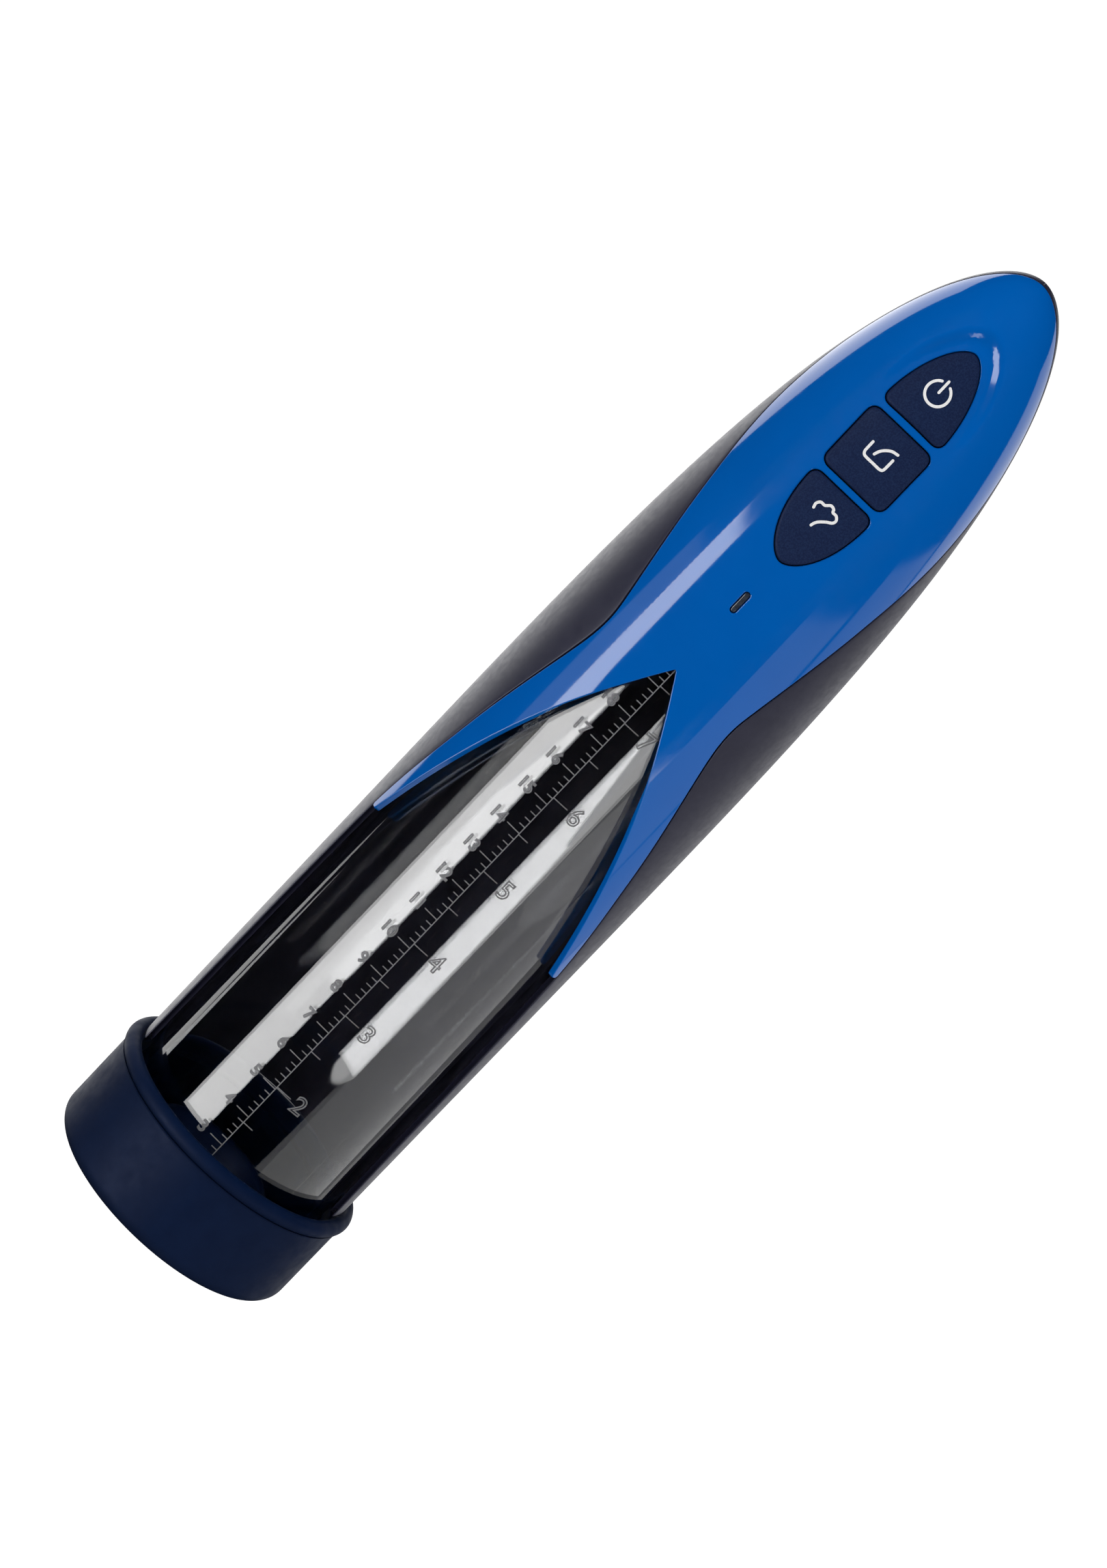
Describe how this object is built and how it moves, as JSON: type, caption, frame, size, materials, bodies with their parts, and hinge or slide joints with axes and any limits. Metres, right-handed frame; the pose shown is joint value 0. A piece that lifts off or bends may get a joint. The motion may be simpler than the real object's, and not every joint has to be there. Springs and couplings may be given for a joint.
{
  "type": "handheld vacuum pump",
  "caption": "Rechargeable handheld vacuum pump: a bullet-shaped handle with three keys and a motor pump, a clear graduated cylinder and a soft silicone entry sleeve.",
  "frame": {"origin": "centre of the flat end ring of the entry sleeve, which it stands on", "axes": "+Z along the cylinder and handle towards the nose, keys face -Y, +X to the right seen from the keys' side"},
  "size_m": [0.0746, 0.0746, 0.3219],
  "materials": {
    "navy_soft_touch": "soft-touch matte navy with a fine grain",
    "blue_gloss": "high gloss blue",
    "navy_key": "matte navy, fine grain",
    "navy_silicone": "matte silicone",
    "clear_plastic": "clear polished, moulded ruler marks",
    "light_window": "translucent",
    "black_plastic": "moulded",
    "steel": "satin",
    "board_green": "solder-masked board",
    "silicone_grey": "moulded silicone",
    "battery_wrap": "shrink-wrapped cell",
    "copper_coil": "varnished winding",
    "white_felt": "felt",
    "cable_red": "insulated wire",
    "cable_black": "insulated wire"
  },
  "bodies": {
    "housing": {"air_filter": "white_felt", "battery_cell": "battery_wrap", "battery_cradle": "black_plastic", "battery_lead": "cable_red", "bulkhead": "black_plastic", "charge_board": "board_green", "charge_socket": "steel", "chassis": "black_plastic", "chassis_screw_1": "steel", "chassis_screw_2": "steel", "chassis_screw_3": "steel", "diaphragm": "silicone_grey", "end_gasket": "silicone_grey", "faceplate": "blue_gloss", "grip_shell": "navy_soft_touch", "light_pipe": "light_window", "main_pcb": "board_green", "manifold": "black_plastic", "mode_switch": "black_plastic", "motor": "steel", "motor_lead": "cable_black", "pcb_screw_1": "steel", "pcb_screw_2": "steel", "pcb_screw_3": "steel", "pcb_screw_4": "steel", "port_o_ring": "silicone_grey", "power_switch": "black_plastic", "pressure_sensor": "black_plastic", "pump_case": "black_plastic", "pump_head": "black_plastic", "pump_hose": "silicone_grey", "release_switch": "black_plastic", "status_led": "light_window", "valve_body": "black_plastic", "valve_coil": "copper_coil", "valve_connector": "silicone_grey", "valve_spring": "steel"},
    "power_key": {"power_button": "navy_key"},
    "mode_key": {"mode_button": "navy_key"},
    "release_key": {"release_button": "navy_key"},
    "cylinder": {"clear_cylinder": "clear_plastic"},
    "sleeve": {"entry_sleeve": "navy_silicone"},
    "rotor": {"motor_shaft": "steel"},
    "wobbler": {"wobble_plate": "steel"},
    "valve_core": {"valve_plunger": "steel"},
    "charge_flap": {"charge_cover": "navy_silicone"}
  },
  "joints": [
    {"name": "power_press", "type": "slide", "parent": "housing", "child": "power_key", "axis": [0, 0.959, -0.2835], "range_m": [0, 0.001], "stiffness_N_per_m": 800, "springref_m": -0.0005},
    {"name": "mode_press", "type": "slide", "parent": "housing", "child": "mode_key", "axis": [0, 0.9861, -0.1659], "range_m": [0, 0.001], "stiffness_N_per_m": 800, "springref_m": -0.0005},
    {"name": "release_press", "type": "slide", "parent": "housing", "child": "release_key", "axis": [0, 0.9951, -0.0988], "range_m": [0, 0.001], "stiffness_N_per_m": 800, "springref_m": -0.0005},
    {"name": "cylinder_slide", "type": "slide", "parent": "housing", "child": "cylinder", "axis": [0, 0, -1], "range_m": [0, 0.21]},
    {"name": "sleeve_slide", "type": "slide", "parent": "cylinder", "child": "sleeve", "axis": [0, 0, -1], "range_m": [0, 0.032]},
    {"name": "motor_spin", "type": "hinge", "parent": "housing", "child": "rotor", "pos_m": [0.0105, 0.0083, 0.248], "axis": [0, 0, 1], "continuous": true},
    {"name": "wobble_rock", "type": "hinge", "parent": "housing", "child": "wobbler", "pos_m": [0.0105, 0.0083, 0.2421], "axis": [1, 0, 0], "range_deg": [-3, 3], "stiffness_Nm_per_rad": 0.05},
    {"name": "valve_stroke", "type": "slide", "parent": "housing", "child": "valve_core", "axis": [0, 0, 1], "range_m": [0, 0.001], "stiffness_N_per_m": 300, "springref_m": -0.002, "deforming": ["valve_spring"]},
    {"name": "charge_cover_hinge", "type": "hinge", "parent": "housing", "child": "charge_flap", "pos_m": [0, 0.03214, 0.22251], "axis": [-1, 0, 0], "range_deg": [0, 100]}
  ]
}
